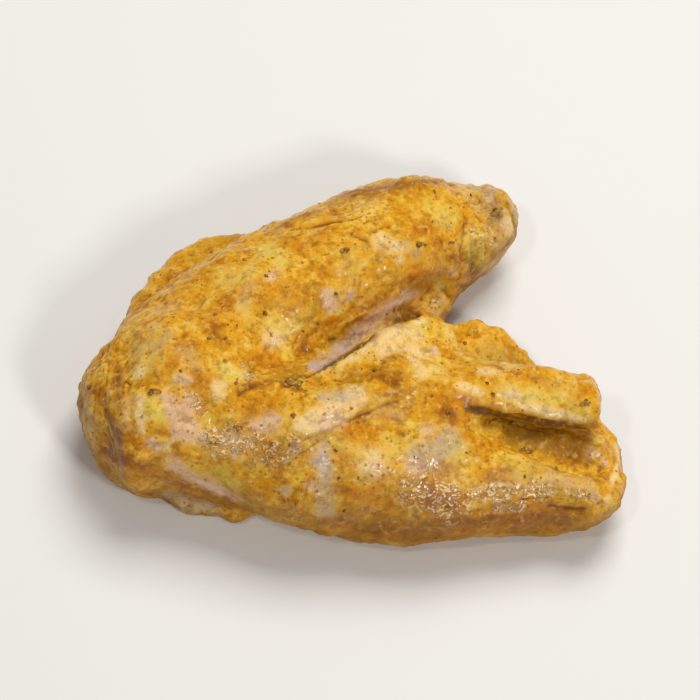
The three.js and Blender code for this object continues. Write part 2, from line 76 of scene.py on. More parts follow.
# Brush strokes of bare skin and of thin or thick marinade, and some of painted shade and painted highlights:
# a radius and then points on the skin, in mm.
marks = {
    "cream": [(1, (1.8, 2.3, 14.1), (4.5, 4.6, 14.1), (7.5, 7.7, 13.7), (10.1, 10.2, 12.5)),
        (1, (-36.5, -9.6, 22.6)), (0.6, (-36.6, -15.3, 22.3), (-36.2, -19.9, 20.3)),
        (0.7, (-27.9, -15.4, 23)), (0.9, (-23.2, -15.1, 23.6), (-23.5, -13.3, 23.9)),
        # The strokes at (-14.8, -3, 21.1) and, four lines below, at (1.7, -25.9, 21.1) are bare skin with a
        # painted highlight on it.
        (0.9, (-32.3, -21.9, 18.5)), (1.2, (-14.8, -3, 21.1), (-12.6, -2.3, 20.2)), (0.8, (8.6, 13.2, 19.8)),
        (1.9, (4.4, -5.5, 23.3), (7.6, -2.6, 22)), (0.8, (1.2, -5.7, 23.4), (3.1, -5, 23.6)),
        (1.1, (9.7, -8.4, 23.1), (10.6, -10.8, 23.5)), (1.2, (10.6, -2.7, 21.5), (9.2, -1.6, 21.6)),
        (1.5, (-8.7, -21.5, 24.5), (-6, -20.8, 24.6)), (1.2, (-2.6, -18.6, 24.4), (0.1, -16.8, 25)),
        (1.9, (1.7, -25.9, 21.1), (2.8, -27.2, 20.3)), (1, (17.6, -12.8, 22.4), (20.1, -13.9, 22.1)),
        (0.8, (25.2, -14.1, 21.5), (26.6, -14.2, 21.3)),
        # This thin stroke along the roll's lower edge is a painted highlight on its rim.
        (0.6, (27.3, -15.3, 20.6), (33.3, -16.3, 19.4), (37.5, -17.3, 18.8)),
        (1.3, (-6.9, -19.4, 25.3), (-3.4, -17.3, 24.8), (-0.7, -15.5, 24.9)),
        (0.6, (-5.9, -10.5, 22.4), (-0.8, -7.8, 23.4), (4.4, -4.4, 23.2),
         (9, -0.6, 21.4), (11.8, 1.5, 19.6)),
        # The thin lines of radius 0.25 and 0.3 on the lobe are painted highlights of wet streaks; the stroke
        # at (6.6, 7.1, 14) is painted light in the shaded crevice under the fold.
        (0.25, (18.9, -29.4, 15.7), (20.4, -28.4, 15.9), (23.6, -28, 16), (26.2, -28.3, 15.5)),
        (0.8, (6.6, 7.1, 14), (9.6, 9.9, 12.6)),
        (0.25, (18.5, -30.5, 15), (23.7, -30.1, 14.2), (25.4, -29.5, 14.5)),
        (0.3, (27.6, -28.7, 14.7), (29.8, -29, 14.2), (31.9, -28.5, 13.9)),
        (1.2, (7.4, -4.9, 22.4), (10.4, -5.8, 21.4)),
        (0.45, (44.9, -17.2, 9.4), (45.3, -19.9, 9.1), (43.4, -25.1, 11.6), (41.9, -29.2, 12.2)),
        (0.8, (28, 24, 15.2), (28.7, 22.6, 13.4)), (0.6, (28.9, 24.6, 14.3), (29.5, 23.5, 12.7)),
        (1.2, (5, 15.5, 22.7), (8.6, 15.2, 20.6)), (0.8, (21.2, -9.4, 21.8), (23.3, -9.9, 21.9)),
        (0.8, (-22.6, -22.1, 20.8), (-20.8, -21.7, 21.5))],
    "pink": [(1.2, (2, 3, 14.6), (5.4, 6.1, 14.6), (8.6, 8.8, 13.5), (11.4, 11.1, 11.9)),
        (1.4, (-28.9, -16.1, 22.8), (-28.6, -20.6, 20.7)),
        (1.1, (-31.5, -15.7, 23), (-30.7, -18, 22), (-30.7, -20.7, 20.1)), (0.8, (-26.1, -21.5, 20.4)),
        (0.9, (-34.6, -21.4, 19), (-34, -22.2, 18)),
        (1.2, (-31.1, -23.9, 16.8), (-28.8, -25.2, 15.1), (-25.5, -25.9, 12.8), (-20.5, -27.7, 10.7)),
        (1, (-18.3, -22.4, 21.4)), (1.3, (-16.7, -20.4, 22.9), (-14.4, -20.1, 23.7)),
        (1.2, (-6.5, -21.4, 24.3), (-3.5, -20, 24.3)), (0.8, (-14.1, 7.7, 23.8)),
        (0.9, (-4.3, 5.8, 21.6), (-3.8, 4.1, 20.2)), (0.8, (-0.3, 6.4, 19.7)), (0.9, (13.4, -4.6, 20.1)),
        (0.8, (-8.3, -29.4, 18)), (0.8, (-11.4, -24.4, 22.5)), (1, (2.5, -26.8, 20.6)),
        (1.1, (11.3, -20.2, 21.5)), (1.1, (8.3, -26.2, 19.8), (10.1, -26.6, 19.3)),
        (0.7, (42.3, -21.6, 11.4)), (0.6, (18.4, 14.9, 12.8)), (0.7, (23.8, -30.9, 13.1)),
        (0.8, (-29.9, -12.4, 24.7), (-28.6, -12.8, 24.6)), (0.7, (39.9, -29.1, 13.5))],
    "lavender": [(1.1, (-7.2, -7.9, 20.7), (-4.2, -3.5, 16.1), (-1.6, -0.8, 14.7), (0.9, 1.3, 14.2)),
        (0.8, (-6.1, -8.4, 21.3), (-3.7, -6.8, 21.5), (-0.9, -4.7, 21.4)),
        (0.9, (-6.8, -25.1, 21.4), (-6.3, -26.7, 20.1))],
    # Grey strokes are bare skin, in places with a painted wet sheen on it.
    "grey": [(1.4, (-6.8, -24.8, 21.5), (-6, -27.3, 19.8), (-5.7, -29.7, 17.4), (-5.6, -31.7, 14.3)),
        (0.9, (-12.4, -29.5, 17)), (2, (10.6, -25.1, 20.3), (13, -23.7, 20.3), (15.1, -22.3, 20.2)),
        (0.9, (-20.8, -24.2, 19.9)), (1, (22.9, 32.2, 13.3), (25.5, 29.5, 15.5)),
        (0.9, (30.1, 27.4, 12.7), (30.6, 26.1, 11)), (0.9, (25, 28, 15.7), (26.5, 27.4, 15)),
        (1.6, (-31.2, -25.3, 7.2), (-28, -24.7, 3.4), (-23.8, -25.6, 3.2)),
        (1.2, (-5.9, -16.3, 24.8), (-2.1, -15.9, 24.9))],
    "tan": [(1.3, (-32.2, -4, 24.6), (-32.9, -6, 24.4)), (1.2, (-29.1, -7.9, 25.2), (-27.7, -9.9, 25.3)),
        (1, (-38.5, -14.9, 21.6), (-39, -18.7, 20)), (1.4, (-44.6, -15.2, 13.4), (-44.8, -14.1, 15)),
        (1.2, (-23.8, -26.4, 12.1), (-21, -27.7, 12.7)), (1.2, (-18.5, 3.1, 23.7), (-17.6, 5.9, 23.8)),
        (1.3, (4.3, -17.6, 22.5), (6.8, -18.2, 22.1)), (1.6, (33.2, -26.3, 14.9), (38.8, -26.7, 13.8)),
        (1, (25.6, 23.1, 15), (27, 21.3, 13.8)), (0.9, (10.4, 15.6, 20), (11.7, 15.1, 19.2)),
        (1, (-3.4, 4.2, 20.1), (-1.2, 5.5, 19.6)), (1, (40.3, -20.3, 12.5)),
        (1, (21.8, 27.4, 17.1), (23.4, 25.3, 16.5)), (1, (16.5, 11.4, 8.4), (15.5, 9.7, 8)),
        (1, (0.4, -4, 21.5), (4.5, 3, 13.2), (8.1, 6.3, 11.3)),
        (2.2, (25.7, 23.9, 15.4), (27.4, 21.1, 13.4), (27.8, 21.4, 6))],
    "straw": [(1.3, (-18.9, 2.2, 23.5), (-17.7, -0.3, 22.9)), (1.1, (-21.2, 9.3, 22.3), (-22.5, 7.4, 22.2)),
        (1.8, (-35.3, -6.1, 23), (-34.7, -8.9, 23.6)), (1.2, (-6.8, 17.6, 22.1)),
        (1.4, (-1.2, 10.5, 22.7), (0.1, 11.4, 22.8)), (1.6, (-6.8, -22.9, 22.6), (-1.8, -24.5, 21.8)),
        (1.6, (7.4, -23.3, 21.2), (4.9, -24.6, 21)), (1.5, (-20.9, 7.4, 22.9), (-17.5, 8.4, 23.8)),
        (1.6, (22.9, -0.7, 10.5), (25.8, -7.3, 19.8)), (1.1, (23, 1.3, 10.9), (26.1, 0.6, 9.9)),
        (1.6, (24.8, -13.2, 22), (29.9, -13.9, 21.2)), (1.4, (31.7, -12.1, 21.3), (35.9, -13.5, 20.4)),
        (1.6, (27.1, -26.9, 16.1), (31.4, -26, 15.2)), (1, (36.5, -28.7, 14.2), (39.5, -28.9, 13.8)),
        (1.2, (15.7, 0, 18.9))],
    "lemon": [(0.8, (-25.4, -18.6, 21.7)), (1.6, (-23.6, -25.8, 16.3), (-21.3, -26.8, 15.6)),
        (1, (-27.7, -24.9, 16.4), (-25.6, -25.7, 15.2)), (1.6, (-13.8, 14, 21.8), (-12.3, 11.2, 23.5)),
        (1.2, (-13.9, -0.7, 21.5), (-10, -0.1, 20.5)), (1, (-11.3, -4.5, 18.7)),
        (1.4, (10, 0.6, 20.4), (12.2, -0.1, 19.9)), (1, (13.1, -9.6, 22.4), (14.2, -6.1, 20.2)),
        (0.8, (3, 2.5, 14)), (0.8, (-7.9, -20.5, 24.9)), (0.7, (-3.4, -9.8, 22.8), (-2.1, -9.1, 23)),
        (0.9, (1.1, -26.9, 20.8)), (0.8, (-10.1, -28.5, 18.7)), (1.2, (29.4, -14, 21.3), (34.6, -14.1, 20.2)),
        (0.9, (35.9, -15.3, 19.9), (37.9, -16.2, 19.7)), (1.7, (14.6, 23.2, 20.8), (17.3, 22.5, 19.4)),
        (1.4, (21.4, 18.8, 15.5), (23.4, 18.1, 12.4)), (0.9, (16.8, 13.7, 10.9)), (1.1, (5, -22, 21.4)),
        (0.8, (8.6, -19.8, 21.7)), (1.2, (-22.3, -10.7, 24.3), (-20.6, -11.5, 24)), (0.8, (9.1, -24, 20.7)),
        (1, (-2.1, 3.6, 19)), (0.8, (41.1, -17.9, 12.4)), (1.2, (15.6, -23.7, 19.2), (16.9, -22.7, 19)),
        (0.9, (24.6, -23.6, 17.1), (27.8, -24.8, 16.5)), (1.4, (-34.8, -16.5, 22.8), (-32.8, -18.1, 21.8))],
    # Ochre strokes along the lower front edge and along the far top edge are painted shade; the rest is
    # thicker film.
    "ochre": [(1.6, (-5.6, 4.8, 21.5), (-7, 2.4, 21.4)),
        (2.4, (-1.5, -32.1, 12.9), (3.9, -32.7, 13.1), (11.2, -33.3, 11.5)),
        (1.8, (7.6, 27.9, 20.1), (13.8, 29.2, 19.7)), (1.6, (34.8, -16.6, 13.7), (36.4, -18.5, 13.6)),
        (1.6, (-9.4, -8.1, 20.5), (-12.9, -9.5, 21.3)), (1.6, (-20.5, 24.6, 9.2), (-18, 24.1, 9.9)),
        (1.2, (0, -14.5, 25), (-1.3, -12, 22.3)), (1.3, (23.1, 17, 10.9)),
        (1.4, (33.5, -31.1, 9.7), (39.2, -31.8, 10.8)), (1.2, (29.7, -24.7, 16.2), (33.1, -23.8, 13.5)),
        (1.6, (-4.8, 22.9, 20.4), (0.7, 26.8, 18.7), (7.8, 29.7, 18.3)), (1.5, (18.5, 30.1, 16.6)),
        (1.3, (25.7, 25.2, 15.8), (27.5, 23, 14.4)),
        (2.2, (26.8, -19.6, 15), (32, -20, 14.3), (38.6, -19.2, 13.1)),
        (1.4, (-13.1, -31.3, 11.4), (-6.4, -32.6, 11)), (1.3, (25.2, 29.6, 15), (28, 27.9, 14.5)),
        (1.2, (22.6, 17.8, 13), (24, 17.4, 10.5))],
    "orange": [(1.1, (-31, -8.9, 25.4), (-29.2, -6.5, 25.3)),
        (0.5, (-33.5, -11.8, 24.1), (-32.3, -13.3, 23.8)), (1.3, (-26.5, -12.1, 24.7), (-25, -13.2, 24)),
        (1.3, (-39.3, -19.7, 18.3), (-35.7, -21.3, 19.1)), (1.2, (-4.7, 18.4, 22.4), (-3.5, 17.4, 23.1)),
        (1.1, (-10.8, 15.2, 22.2), (-8.7, 13.9, 22.8)), (1.3, (-14, -6.8, 19.7), (-12.8, -8.4, 20.4)),
        (1.2, (11.4, 19.3, 20.9), (13.6, 19.1, 20)), (0.9, (19.6, 20.4, 17.5)),
        (1.7, (-1.8, -29.7, 18.2), (1.7, -30.9, 15.9)), (0.9, (-2.2, -25.6, 21.2), (-1.4, -27.4, 20.4)),
        (1.6, (12.4, -14.9, 22.7), (17.5, -16.2, 21)), (0.9, (22.6, -13.8, 21.9), (22.2, -15, 21.5)),
        (1, (31.7, -11.9, 21.3), (34.3, -12, 21.1)), (1, (37.6, -13.1, 20.6), (37.1, -14.4, 20.4)),
        (1.1, (-15.1, -25.5, 20.2), (-13.4, -26.8, 19.1)), (1, (-7.6, -23.4, 22.3), (-6, -22.6, 22.6)),
        (1.2, (11.3, 12.7, 17.4), (13.2, 12.9, 16.2)), (1, (43.2, -18.1, 11.1)),
        (1, (29.8, -30.5, 12.2), (31.6, -30.5, 11.5)), (1.4, (-21.8, 3.9, 23.1), (-23.7, -1, 24.1)),
        (1.6, (-13.3, 6, 23.8), (-10.4, 4.4, 23.2)), (1.4, (-4.2, 1.3, 17.9), (0.9, 4.1, 16.7)),
        (1.2, (-15, -16.3, 24), (-13.3, -15.3, 24)), (1.3, (18.3, -20.6, 19.3), (20.6, -22.3, 17.7)),
        (1.2, (0, -20.1, 22.3), (-1.8, -21.3, 22.8))],
    # Brown strokes are thick marinade, and painted shade in the hollow under the roll, along the lower front
    # edge, round the elbow's lower and left side, along the far top edge and under the fold's lip.
    "brown": [(1.2, (29.5, -18, 14.9), (33.8, -18.5, 14.3), (39, -18.7, 13.2)),
        (1.6, (37.2, -19.4, 13.3), (39.8, -19.9, 12.7)), (1.2, (-43.9, -10.4, 17.2), (-43, -12.8, 17.7)),
        (1, (-40, -9.5, 19.6), (-39.7, -14.1, 21)), (0.7, (-41.8, -15.1, 18.5), (-40.1, -19.2, 17.7)),
        (1.2, (-42.9, -18.9, 11.3), (-38.1, -23.6, 15.8), (-33.1, -24.9, 13.8), (-28.8, -25.7, 10.8)),
        (1, (-9.1, -3.2, 17.7), (-8, -2.2, 17.7)), (1, (3.3, 5.9, 16.7), (5.3, 7.4, 16.2)),
        (1, (-18.4, -19, 23.4)), (0.9, (-15.8, -12.8, 23.5), (-13.8, -11.9, 22.9)),
        (1.1, (-16.9, -13.1, 23.4), (-13.1, -12.5, 23.4)), (1.2, (21.6, 17.6, 12.5), (23.4, 16.9, 7.7)),
        (0.9, (-19.9, -14.1, 23.8), (-18.2, -13.2, 23.5)), (1.4, (4, -11.3, 24.4), (6.9, -12.4, 24.6)),
        (0.8, (5.5, -8.1, 23.2), (7.2, -7.5, 23.2)), (1, (18.3, 16.1, 15), (19.7, 16.4, 13.6)),
        (0.7, (22.6, 17.2, 11.3)), (1.7, (9.6, -30, 17.1), (12.7, -30.9, 16.3), (15.3, -31.4, 15)),
        (1.4, (34.1, -20, 13.9), (35.5, -21, 13)), (1.8, (37.7, -18.3, 13.4), (39.4, -19.6, 12.9)),
        (0.8, (32.5, -29.9, 11.6), (37.9, -30.6, 11.6)), (0.9, (14.8, -17.7, 21.7), (15.7, -18.9, 20.9)),
        (1, (-24.2, -2.6, 24.4), (-23.4, -4.3, 24.4)), (1, (-2.3, -32.6, 12), (-6.4, -32.6, 11.2)),
        (2, (3.6, -33.3, 11.2), (11.2, -33.6, 10.6), (20.5, -32.6, 10.8),
         (27.3, -31.9, 11), (34.3, -31, 10)), (0.8, (7.1, -21.6, 21.4)),
        (1.5, (0.7, 27.4, 18.3), (4.6, 27.7, 19.1), (10.1, 27.3, 20.8)),
        (0.9, (-6.5, 22.5, 20.1), (-11.7, 20, 19.3)),
        (1.2, (4.2, 28.1, 18.7), (11, 28.1, 20.4), (18.5, 30.1, 16.6)),
        (1.2, (13.5, -32.9, 13.1), (18.3, -32.8, 11.8)),
        (0.45, (-6.2, -9, 21.5), (-1.1, -6.3, 22.3), (4.1, -3.6, 23.2), (8.9, 0.5, 20.4), (12.5, 8.9, 8.4))],
    "purple": [(1.2, (12.7, -26.7, 19), (15.5, -26.1, 18.4)), (1.1, (23.5, -26.5, 16.6), (25.4, -25.7, 16.6)),
        (1.3, (22.4, -27.6, 16.2), (26.6, -27.1, 16.1)), (1.1, (28.8, -27.4, 15.3), (32.2, -27.6, 14.7)),
        (1.1, (10.8, -29.7, 17.2), (13.8, -30.8, 16))],
    # The olive strokes in the hollow under the roll are painted shade.
    "olive": [(1.3, (25.6, -18.2, 15.3), (29.5, -18.3, 14.8)),
        (0.8, (23.5, -15.8, 16.2), (26.2, -15.7, 14.8)), (0.9, (31.1, -19.5, 14.6)),
        (0.9, (2.9, -10.3, 23.4)), (1.4, (24.9, 26.7, 15.9), (26.1, 25.1, 16)),
        (1.2, (29.5, 26, 13.7), (30, 24.6, 12.3)), (1.1, (21.5, 18.5, 14.4), (22.4, 17.3, 11.3)),
        (1.2, (28.8, 21.9, 12.3), (27.7, 20.7, 10.6))],
    # Dark strokes are mostly painted shadow: thin lines under the roll's edge and the fold's lip, and the
    # shade in a pit at the wrist.
    "dark": [(0.6, (18.4, -16, 20.7), (21.4, -16.1, 19.7), (24.6, -16.1, 17.8)), (0.6, (26.1, 24.6, 15.7)),
        (0.6, (29.2, -16.8, 18), (34.2, -17.5, 18), (37.7, -17.7, 17.2)),
        (0.5, (-10.7, -13.9, 24), (-9.1, -14.7, 24.2)),
        (0.3, (-6.2, -9.1, 21.5), (-1.1, -6.4, 22.2), (4, -3.7, 23.2), (8.8, 0.2, 20.9), (12.5, 8.8, 8.4))],
    # Crease strokes are painted shadow lines under the fold's lip and under the roll's edge.
    "crease": [(0.5, (-9.6, -10.4, 21.5), (-6.5, -10.4, 22.4), (-2.8, -7.6, 22.1), (0.3, -5.2, 22.3),
         (4.3, -2.7, 23), (8.1, 5.8, 11.3), (11.8, 8.6, 8.4)), (0.6, (4.2, -2.3, 22.8), (9, 6.5, 10.7)),
        (0.4, (18.4, -16.1, 20.6), (23.3, -16.1, 18.4), (29.3, -16.8, 17.4),
         (34.3, -17.7, 17.6), (38.2, -17.8, 16.4))],
    "wet": [(2, (-24.1, -22, 20.6), (-18.4, -23.1, 21), (-14.3, -24.7, 21.2)),
        (2.4, (9.1, -29.8, 17.4), (12.5, -30.8, 16.5), (15.6, -31.4, 14.9)),
        (1.1, (19.4, -29.4, 15.5), (23.6, -29.5, 15), (31.4, -28.6, 14)),
        (1.2, (-11, -24.1, 22.8), (-13.4, -25.4, 20.8)), (1, (23.7, -30.7, 13.6), (27.1, -30.8, 13.3)),
        (0.9, (-27.8, -15.7, 22.9), (-26.5, -16.7, 22.3)), (0.9, (36.5, -28.7, 14.2), (39.9, -29, 13.6)),
        (0.9, (-18.9, -9.8, 23.5), (-18.1, -11.3, 23.6))],
}

# Lines on the skin, in mm: edges of folded sheets, creases and thin wet ridges.
skinLines = {
    "fold": [(-13.1, -11.6, 23), (-8.8, -11, 22.1), (-6.2, -9.9, 22), (-2.8, -7.8, 22.8), (0.6, -5.7, 22.9),
        (4.3, -2, 21.5), (9.5, 1.4, 19.8), (13.1, 2.4, 18.9)],
    "strip": [(-10.5, -8.4, 20.4), (-5.6, -5.9, 20.9), (-1.2, -3.2, 21.2), (3.5, -0.3, 20.4), (8, 2.4, 18)],
    "rollStart": [(17.6, -16.6, 18.6), (20, -17, 16.5), (22.5, -17, 15)],
    "crease": [(-21.4, -16.2, 23.9), (-19, -14.1, 23.5), (-16.5, -12.8, 23.5), (-13.1, -11.6, 23)],
    "sheet": [(-14.7, -24.7, 21.3), (-11.8, -24.1, 22.5), (-8.5, -22.7, 23.4), (-5.1, -21.2, 23.5),
        (-1.7, -19.4, 23.2), (1.7, -17.7, 23.1), (6, -15.7, 22.9), (10.2, -14.8, 23)],
    "sheetLow": [(-13.4, -26.8, 19.1), (-10.2, -25, 21.7), (-6.8, -23.1, 22.6), (-2.6, -21.4, 22.9)],
    "roll": [(18, -16, 20.8), (20.5, -15.7, 20.6), (24, -15.9, 19.2), (29.1, -16.7, 18.9),
        (35.1, -17.4, 17.9)],
    "rim": [(-45.8, -7.8, 14), (-43.7, -5.2, 16.2), (-38.5, 1.5, 16), (-35, 6.8, 15.7), (-29.8, 11.1, 16.7),
        (-23.8, 15.5, 17.6), (-18.6, 18.6, 17.8), (-15.1, 20.2, 17.8)],
    "top": [(-9.8, 18.1, 21.2), (-5.1, 19.2, 22.2), (-0.9, 19.4, 23.4), (3.6, 21.1, 22.6)],
    "topShort": [(3.1, 16.4, 23.2), (6.1, 18.3, 22), (7.8, 18.6, 22.1)],
    "topBranch": [(-0.6, 16.7, 23.7), (1.5, 15.5, 23.5), (3.7, 15.1, 23)],
    "wrist": [(20.3, 26.4, 18), (20.5, 21.7, 17.4), (20, 17.8, 15.5), (19.3, 15, 12.5)],
    "wristMiddle": [(21.9, 20.5, 16.1), (22.4, 17.9, 13.6), (22.2, 15.6, 9.9)],
    "wristEnd": [(24.2, 20.2, 14.8), (24.5, 17.9, 12), (24.4, 16.5, 9.2)],
    "elbow": [(-41.6, -7, 18.5), (-42.5, -11.1, 18.2), (-42.3, -15.5, 17.5), (-40.9, -19.3, 15.7)],
    "elbowInner": [(-37.8, -9.7, 21.6), (-38.3, -14.2, 22), (-38, -18.1, 20.6), (-36.5, -21.8, 18.7)],
    "lobe": [(18.5, -29.8, 15.5), (20.7, -28.5, 15.7), (24.1, -28, 15.9), (27.9, -28.3, 15)],
    "lobeMiddle": [(23.7, -29.8, 14.5), (27.1, -29.5, 14.3), (32.3, -28.6, 13.6), (39.9, -29, 13.7)],
    "lobeLow": [(30.7, -30.2, 12.1), (35.8, -30.6, 11.6), (40.4, -30.5, 12.2)],
    "dent": [(-4.1, -22.2, 22.7), (-4.5, -26.1, 21.1), (-4.3, -29.4, 18.5), (-4.2, -31.8, 14.1)],
    "hollow": [(23.9, -22, 16.8), (28.9, -24.2, 16.4), (33.4, -24.8, 14), (39.2, -26.7, 13.9)],
    "foldRidge": [(1.4, -13.6, 24.3), (6, -14.4, 23.9), (11.2, -12.1, 23.2), (15.6, -10.6, 22.2)],
    "wristRim": [(19, 30.9, 15.9), (23, 32.4, 12.5), (26.1, 29.7, 15), (28.6, 27.8, 14.4),
        (30.4, 25.8, 12.3)],
    "wristLip": [(20.3, 26.4, 18.3), (23.7, 26.9, 16.4), (26.1, 25.1, 16), (27.4, 22.8, 14.7)],
    "lobeEdge": [(44.4, -16.3, 9.5), (45.1, -19.8, 8.8), (43.4, -25.1, 11.7), (41.3, -29.7, 12.4)],
    "lobeInner": [(41.8, -16.6, 10.2), (42.3, -20.1, 10.4), (40.7, -25.1, 12.6), (39, -29.1, 13.9)],
    "knob": [(15.3, 13.4, 12.8), (17.8, 12.5, 9.1), (19.6, 12.4, 7.6)],
    "shade": [(24.5, -17.4, 13.4), (29, -17.8, 12.7), (33.5, -18.2, 12.1), (38, -18.6, 11.2),
        (41.5, -18.8, 10.4)],
}

# What a user would change on the wing's body of skin and meat.
skin = {
    "voxel": 0.44,              # mm, the grain of the new mesh
    "smoothing": 14,            # rounds that take the solid's facets away
    # name of the line: how far round it the solid's form is eased, mm, and how often
    "eased": {"strip": (3.8, 130), "rollStart": (4.5, 160)},
    # name of the line: how much the floor there is raised, and reach, mm
    "filled": {"shade": (2.4, 3.2)},
    # place in mm, how far the form there is shifted, and reach, mm
    "shifted": [((28.0, 18.5, 6.0), (-1.7, 1.3, 0.0), 5.5), ((21.5, 13.0, 4.0), (-1.0, 1.2, 0.0), 4.5)],
    "unevenness": [(7.0, 0.32), (3.0, 0.17), (1.4, 0.12), (0.8, 0.06)],     # sizes and heights, mm
    # name of the line: spacing, depth and reach of the wrinkles that run beside it, mm
    "wrinkles": {"elbow": (1.35, 0.26, 5.5), "elbowInner": (1.2, 0.2, 4.0), "rim": (1.3, 0.26, 4.5),
                 "top": (1.4, 0.24, 4.5), "wristMiddle": (1.2, 0.3, 4.0), "wristLip": (1.1, 0.3, 4.5),
                 "sheet": (1.0, 0.12, 3.0), "lobeMiddle": (0.9, 0.2, 3.0), "hollow": (1.4, 0.2, 4.0)},
    # name of the line: depth of the groove (minus for a ridge) and its half width, mm
    "grooves": {"fold": (0.9, 0.4), "crease": (0.45, 0.7), "sheetLow": (0.1, 0.5),
                "roll": (0.3, 0.45), "rim": (0.5, 0.5), "top": (0.7, 0.5), "topShort": (0.6, 0.45),
                "topBranch": (0.45, 0.45), "wrist": (0.5, 0.7), "wristMiddle": (0.5, 0.6),
                "wristEnd": (0.45, 0.6), "elbow": (0.3, 0.5), "elbowInner": (0.2, 0.5), "lobe": (-0.12, 0.35),
                "lobeMiddle": (-0.15, 0.4), "lobeLow": (0.4, 0.5), "dent": (0.8, 1.8), "hollow": (-0.2, 0.8),
                "foldRidge": (-0.35, 0.9), "knob": (0.5, 0.5), "wristRim": (-0.5, 0.6),
                "wristLip": (0.5, 0.6), "lobeEdge": (-0.2, 0.6), "lobeInner": (0.35, 0.6)},
    # name of the line: height of the sheet that ends at it, plus on the left of its run, and its fading, mm
    "steps": {"fold": (-0.9, 5.0), "roll": (0.6, 3.0), "sheet": (0.45, 5.0), "sheetLow": (0.3, 2.5)},
    # place in mm, reach, size and height of the tatters, mm: the torn ends of the skin
    "ragged": [((25.5, 27.5, 14.0), 6.5, 2.0, 0.8), ((43.5, -22.5, 9.5), 6.0, 1.8, 0.45),
               ((24.5, 0.5, 10.5), 6.0, 2.0, 0.45), ((-27.0, -25.0, 3.0), 7.0, 2.0, 0.4),
               ((-5.0, -33.0, 6.0), 7.0, 2.4, 0.6), ((10.0, -34.0, 6.0), 7.0, 2.2, 0.5)],
    "drawn": (1.3, 4.0, 0.16),      # width, how much longer and height of the fine ridges of drawn skin, mm
    "elbow": (-32.0, -7.8),         # mm, where the two limbs meet
    "elbowReach": (11.0, 5.0),      # mm, where the skin is drawn across, not along, and how softly it turns
    "runs": (31.4, -10.0, 96.0),    # degrees in plan, how the skin is drawn: flat, drumette, round the elbow
    "paste": (1.6, 0.16),           # size and height of the marinade's crumbs, mm
    "beads": (0.9, 0.22),           # size and height of the lumps in the wet beds, mm
    "follicles": (2.6, 0.14),       # spacing and height of the raised pores of plucked skin, mm
    "pressed": (0.1, 1.6, 0.3),     # mm above the table where relief starts and is full, hollows' share there
    # sizes and reaches, mm, of the waves that shake wrinkles, lines, streaks, pores, strokes and patches
    "waves": {"wrinkle": [(6.0, 1.6), (2.5, 0.5)], "line": [(2.5, 0.22)], "streak": [(4.0, 0.6)],
              "follicle": [(1.5, 0.3)], "stroke": [(3.0, 1.0), (1.2, 0.5)], "patch": [(3.0, 1.0)]},
    "painted": (-0.09, -0.48, 0.87),        # the direction from which the brush strokes were laid
    "streaks": [(2.6, 3.0), (1.3, 4.0)],    # width of the marinade's streaks, mm, and how much longer
    # what thins or gathers the film: change of its thickness, in shares of the full one
    "filmChange": {"groove": 0.13, "pooledShade": 0.18, "streaks": 0.2, "wet": -0.12, "gathered": 0.22,
                   "rubbed": -0.42},
}


def smoothShare(value, low, high):
    share = np.clip((value - low) / (high - low), 0.0, 1.0)
    return share * share * (3.0 - 2.0 * share)


# Soft unevenness between -1 and 1 with lumps of one size. Each use has its own place in the noise.
def lumps(points, size, place):
    return np.array([noise.noise(p) for p in map(Vector, points / size + place)])


def shaken(points, waves):
    for size, reach in waves:
        points = points + reach * np.array([noise.noise_vector(p) for p in map(Vector, points / size)])
    return points


# Distance from a line, plus on the left of its run as seen from outside, and the share of its length.
def besideLine(points, normals, line):
    line = np.array(line, float)
    lengths = np.linalg.norm(np.diff(line, axis=0), axis=1)
    starts = np.concatenate([[0.0], np.cumsum(lengths)])
    nearest = np.full(len(points), 1e9)
    side = np.ones(len(points))
    run = np.zeros(len(points))
    for a, b, start, length in zip(line, line[1:], starts, lengths):
        share = np.clip((points - a) @ (b - a) / length ** 2, 0.0, 1.0)
        offset = points - (a + share[:, None] * (b - a))
        distance = np.linalg.norm(offset, axis=1)
        closer = distance < nearest
        nearest[closer] = distance[closer]
        left = np.einsum("ij,ij->i", np.cross(normals, (b - a) / length), offset)
        side[closer] = np.where(left[closer] >= 0.0, 1.0, -1.0)
        run[closer] = (start + share[closer] * length) / starts[-1]
    return nearest * side, run


def ends(run, taper):
    return smoothShare(run, 0.0, taper) * smoothShare(1.0 - run, 0.0, taper)


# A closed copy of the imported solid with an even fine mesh, without the solid's facets.
def evenCopy(node, voxel, rounds):
    merged = bmesh.new()
    merged.from_mesh(node.data)
    bmesh.ops.remove_doubles(merged, verts=merged.verts, dist=1e-6)
    mesh = bpy.data.meshes.new("merged")
    merged.to_mesh(mesh)
    merged.free()
    holder = bpy.data.objects.new("holder", mesh)
    bpy.context.scene.collection.objects.link(holder)
    remesh = holder.modifiers.new("even", "REMESH")
    remesh.mode = "VOXEL"
    remesh.voxel_size = voxel * mm
    relax = holder.modifiers.new("relax", "SMOOTH")
    relax.factor = 0.5
    relax.iterations = rounds
    even = bpy.data.meshes.new_from_object(holder.evaluated_get(bpy.context.evaluated_depsgraph_get()))
    bpy.data.objects.remove(holder)
    return even


def placesOf(mesh):
    places = np.empty(len(mesh.vertices) * 3)
    mesh.vertices.foreach_get("co", places)
    return places.reshape(-1, 3) / mm


def normalsOf(mesh):
    normals = np.empty(len(mesh.vertices) * 3, np.float32)
    mesh.vertex_normals.foreach_get("vector", normals)
    return normals.reshape(-1, 3).astype(float)


def setPlaces(mesh, places):
    mesh.vertices.foreach_set("co", (places * mm).astype(np.float32).ravel())
    mesh.update()


